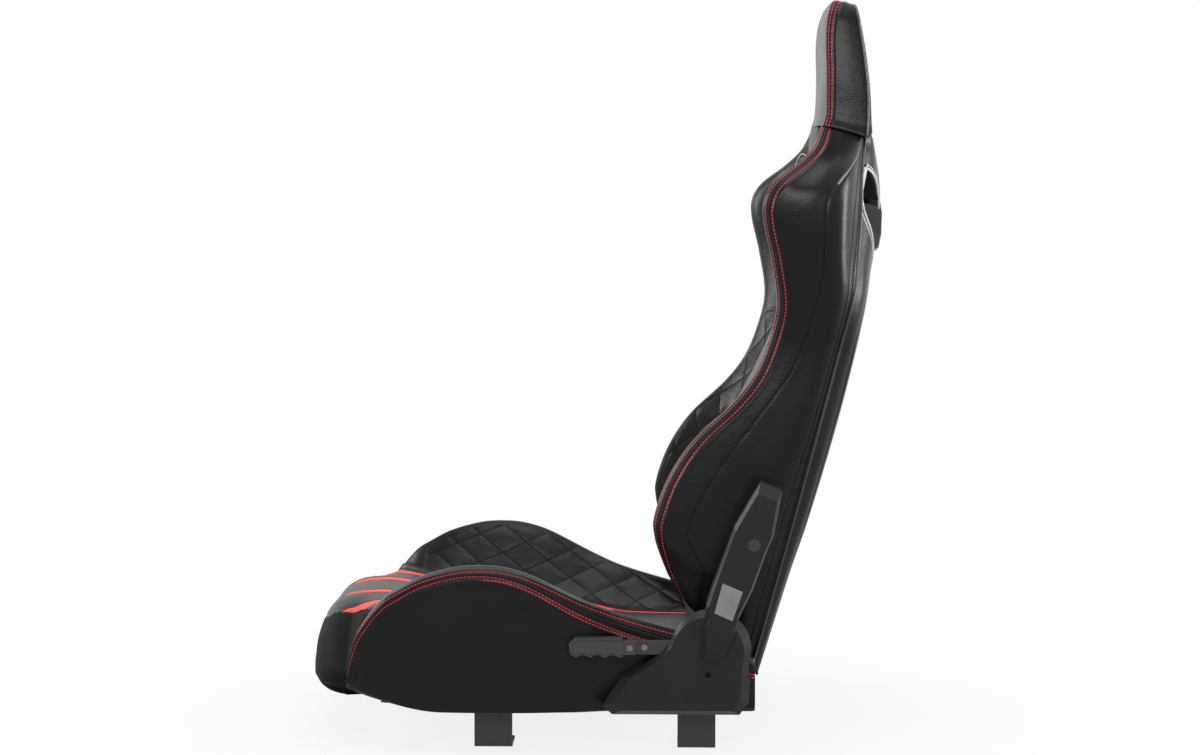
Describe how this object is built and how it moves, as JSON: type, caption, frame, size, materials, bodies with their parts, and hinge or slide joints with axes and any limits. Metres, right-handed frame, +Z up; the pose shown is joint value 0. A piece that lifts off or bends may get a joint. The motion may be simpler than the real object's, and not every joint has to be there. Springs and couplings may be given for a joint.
{
  "type": "racing seat",
  "caption": "Reclining racing seat with bolstered cushion and backrest, fixed headrest, harness openings, side recliner lever and angled steel feet",
  "frame": {"origin": "centre of the four foot holes, on the plane the feet stand on", "axes": "+X to the seat's own left, where the lever is, the seat faces -Y, +Z up"},
  "size_m": [0.5692, 0.7651, 0.986],
  "materials": {
    "leather": "black leather with a fine grain",
    "cloth": "woven black cloth",
    "inlay_grey": "matte grey",
    "plastic": "dark grey, fine texture",
    "bright_steel": "zinc plated",
    "black_steel": "black powder coat"
  },
  "bodies": {
    "seat_base": {"cushion_pad": "leather", "cushion_bolster_left": "leather", "cushion_bolster_right": "leather", "seat_rail_left": "black_steel", "seat_rail_right": "black_steel", "front_cross_tube": "black_steel", "rear_cross_tube": "black_steel", "seat_springs": "bright_steel", "dust_cover": "cloth", "foot_front_left": "black_steel", "foot_front_right": "black_steel", "foot_rear_left": "black_steel", "foot_rear_right": "black_steel", "foot_bolts": "bright_steel", "recliner_plate_left": "black_steel", "recliner_plate_right": "black_steel", "plate_spacers": "bright_steel", "plate_bolts": "bright_steel", "recliner_disc_left": "bright_steel", "recliner_disc_right": "bright_steel", "lower_cover_left": "plastic", "lower_cover_right": "plastic", "cover_screws": "black_steel"},
    "backrest": {"back_pad": "leather", "back_bolster_left": "leather", "back_bolster_right": "leather", "headrest": "leather", "back_panel": "leather", "back_tube_left": "black_steel", "back_tube_right": "black_steel", "lower_back_tube": "black_steel", "upper_back_tube": "black_steel", "back_springs": "bright_steel", "arm_plate_left": "black_steel", "arm_plate_right": "black_steel", "recliner_ring_left": "bright_steel", "recliner_ring_right": "bright_steel", "arm_spacers": "bright_steel", "arm_bolts": "bright_steel", "return_spring_right": "bright_steel", "arm_cover_left": "plastic", "arm_cover_right": "plastic", "arm_cover_screws": "black_steel", "inlay_left": "inlay_grey", "inlay_right": "inlay_grey", "screw_cap_left": "plastic", "screw_cap_right": "plastic", "harness_trim_left": "plastic", "harness_trim_right": "plastic"},
    "lever": {"lever_arm": "black_steel", "lever_grip": "plastic", "lever_screws": "bright_steel", "sync_rod": "bright_steel"}
  },
  "joints": [
    {"name": "recline", "type": "hinge", "parent": "seat_base", "child": "backrest", "pos_m": [0, 0.153, 0.144], "axis": [-1, 0, 0], "range_deg": [-15, 45]},
    {"name": "recline_lever", "type": "hinge", "parent": "seat_base", "child": "lever", "pos_m": [0, 0.153, 0.144], "axis": [-1, 0, 0], "range_deg": [0, 20], "stiffness_Nm_per_rad": 5, "springref_deg": -5.73}
  ]
}
